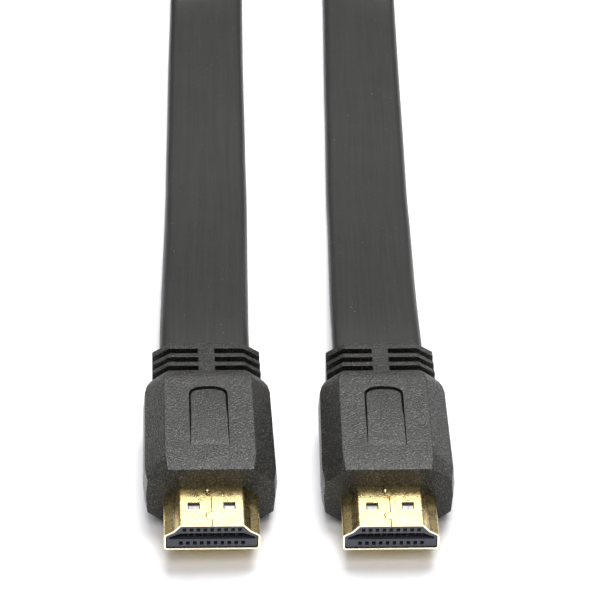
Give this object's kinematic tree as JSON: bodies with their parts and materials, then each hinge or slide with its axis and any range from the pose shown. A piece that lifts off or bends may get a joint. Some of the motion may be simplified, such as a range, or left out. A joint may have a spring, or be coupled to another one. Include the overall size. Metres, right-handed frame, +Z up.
{
  "type": "hdmi cable",
  "caption": "Flat audio-video cable with a moulded plug, gold-plated shell and slotted strain relief on each end, spare length coiled behind.",
  "frame": {"origin": "on the table, midway between the two plugs and at the middle of their length", "axes": "+Z up; the plugs point to -Y and the cable leaves them towards +Y; +X from the left plug to the right one"},
  "size_m": [0.1342, 0.3169, 0.0144],
  "materials": {
    "moulded_body": "coarse spark-eroded matt, smoother on the strain relief",
    "gold_shell": "bright gold plating, lightly mottled",
    "gold_contact": "gold plating",
    "insulator": "fine satin slate plastic",
    "cable_jacket": "satin flexible jacket with faint lengthwise ribs"
  },
  "bodies": {
    "root": {"left_plug_body": "moulded_body", "left_plug_shell": "gold_shell", "left_plug_insulator": "insulator", "left_upper_contact_1": "gold_contact", "left_upper_contact_2": "gold_contact", "left_upper_contact_3": "gold_contact", "left_upper_contact_4": "gold_contact", "left_upper_contact_5": "gold_contact", "left_upper_contact_6": "gold_contact", "left_upper_contact_7": "gold_contact", "left_upper_contact_8": "gold_contact", "left_upper_contact_9": "gold_contact", "left_lower_contact_1": "gold_contact", "left_lower_contact_2": "gold_contact", "left_lower_contact_3": "gold_contact", "left_lower_contact_4": "gold_contact", "left_lower_contact_5": "gold_contact", "left_lower_contact_6": "gold_contact", "left_lower_contact_7": "gold_contact", "left_lower_contact_8": "gold_contact", "left_lower_contact_9": "gold_contact", "left_lower_contact_10": "gold_contact", "right_plug_body": "moulded_body", "right_plug_shell": "gold_shell", "right_plug_insulator": "insulator", "right_upper_contact_1": "gold_contact", "right_upper_contact_2": "gold_contact", "right_upper_contact_3": "gold_contact", "right_upper_contact_4": "gold_contact", "right_upper_contact_5": "gold_contact", "right_upper_contact_6": "gold_contact", "right_upper_contact_7": "gold_contact", "right_upper_contact_8": "gold_contact", "right_upper_contact_9": "gold_contact", "right_lower_contact_1": "gold_contact", "right_lower_contact_2": "gold_contact", "right_lower_contact_3": "gold_contact", "right_lower_contact_4": "gold_contact", "right_lower_contact_5": "gold_contact", "right_lower_contact_6": "gold_contact", "right_lower_contact_7": "gold_contact", "right_lower_contact_8": "gold_contact", "right_lower_contact_9": "gold_contact", "right_lower_contact_10": "gold_contact", "cable_left_run": "cable_jacket", "cable_right_run": "cable_jacket", "cable_coil": "cable_jacket", "cable_coil_middle": "cable_jacket"}
  },
  "joints": []
}
